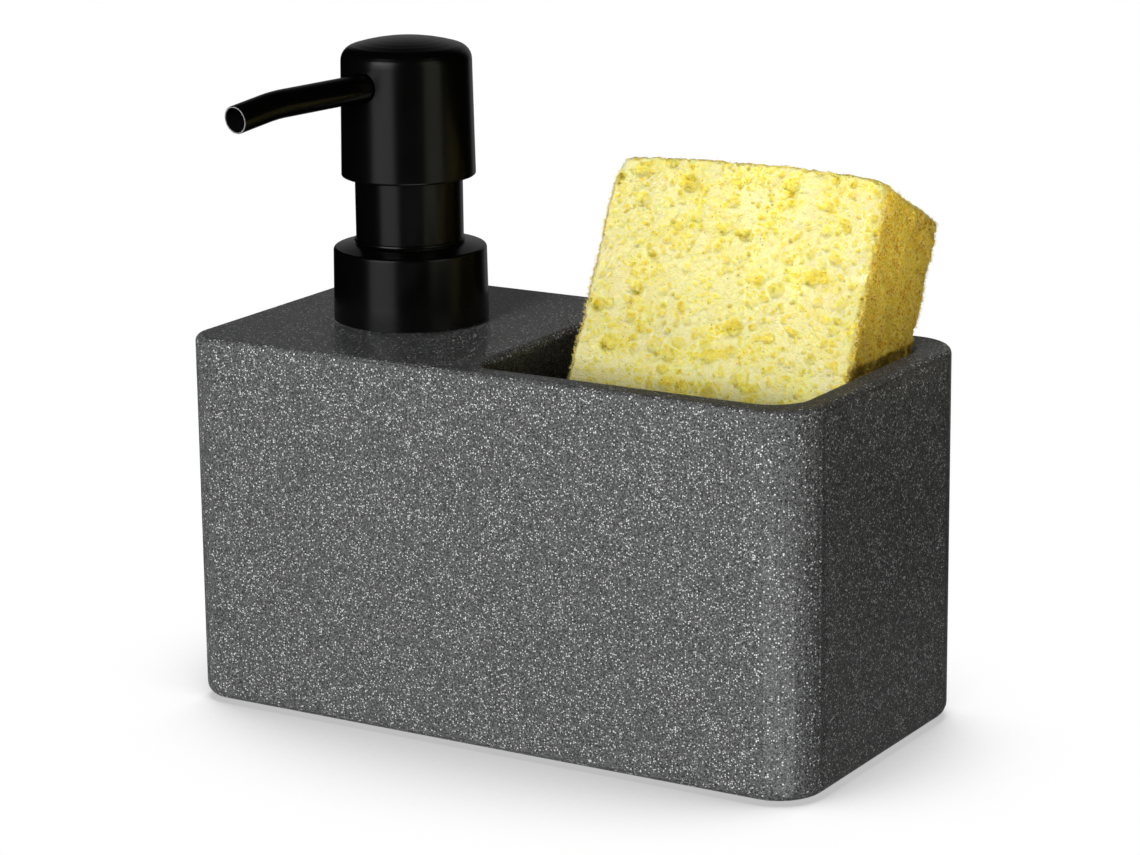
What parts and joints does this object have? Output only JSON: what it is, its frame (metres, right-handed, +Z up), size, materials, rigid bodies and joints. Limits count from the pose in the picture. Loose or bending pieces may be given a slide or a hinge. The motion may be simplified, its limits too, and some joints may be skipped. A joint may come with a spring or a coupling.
{
  "type": "soap pump caddy",
  "caption": "Rectangular cast caddy with a soap reservoir under a lotion pump and an open compartment in which a sponge leans.",
  "frame": {"origin": "centre of the underside of the foam pad, on the surface that the caddy stands on", "axes": "+X along the block towards the sponge's end, -Y to the front, +Z up"},
  "size_m": [0.1652, 0.1057, 0.158],
  "materials": {
    "resin": "matt cast resin with stone grain, light and dark speckle",
    "black_coat": "satin black",
    "black_moulding": "moulded",
    "natural_moulding": "natural polypropylene",
    "clear_tube": "extruded, translucent",
    "steel": "drawn wire and ground ball",
    "washer": "soft foam washer",
    "foam": "fine closed-cell foam",
    "cellulose": "open round pores of many sizes"
  },
  "bodies": {
    "caddy": {"caddy_body": "resin", "base_plate": "resin", "base_pad": "foam", "neck_insert": "black_moulding"},
    "pump": {"pump_cylinder": "natural_moulding", "neck_gasket": "washer", "stem_guide": "natural_moulding", "guide_sleeve": "black_coat", "return_spring": "steel", "dip_tube": "clear_tube"},
    "collar": {"collar_shell": "black_coat", "screw_cap": "black_moulding"},
    "plunger": {"piston": "natural_moulding", "spring_seat": "natural_moulding"},
    "head": {"stem": "natural_moulding", "actuator_core": "black_moulding", "head_shell": "black_coat", "spout_tube": "black_coat", "spout_liner": "black_moulding"},
    "ball": {"inlet_ball": "steel"},
    "sponge_block": {"sponge": "cellulose"}
  },
  "joints": [
    {"name": "pump_rise", "type": "slide", "parent": "caddy", "child": "pump", "axis": [0, 0, 1], "range_m": [0, 0.00529]},
    {"name": "collar_turn", "type": "hinge", "parent": "pump", "child": "collar", "pos_m": [-0.0449, 0, 0.1], "axis": [0, 0, 1], "range_deg": [0, 450.1]},
    {"name": "pump_press", "type": "slide", "parent": "pump", "child": "plunger", "axis": [0, 0, 1], "range_m": [-0.014, 0], "stiffness_N_per_m": 900, "springref_m": 0.008, "deforming": ["return_spring"]},
    {"name": "head_swivel", "type": "hinge", "parent": "plunger", "child": "head", "pos_m": [-0.0449, 0, 0.1477], "axis": [0, 0, 1], "continuous": true},
    {"name": "inlet_ball_lift", "type": "slide", "parent": "pump", "child": "ball", "axis": [0, 0, 1], "range_m": [0, 0.0015]},
    {"name": "sponge_lift", "type": "slide", "parent": "caddy", "child": "sponge_block", "axis": [0, 0.4463, 0.8949], "range_m": [0, 0.1]}
  ],
  "couplings": [
    {"joint": "collar_turn", "follows": "pump_rise", "rad_per_m": 1485.4}
  ]
}
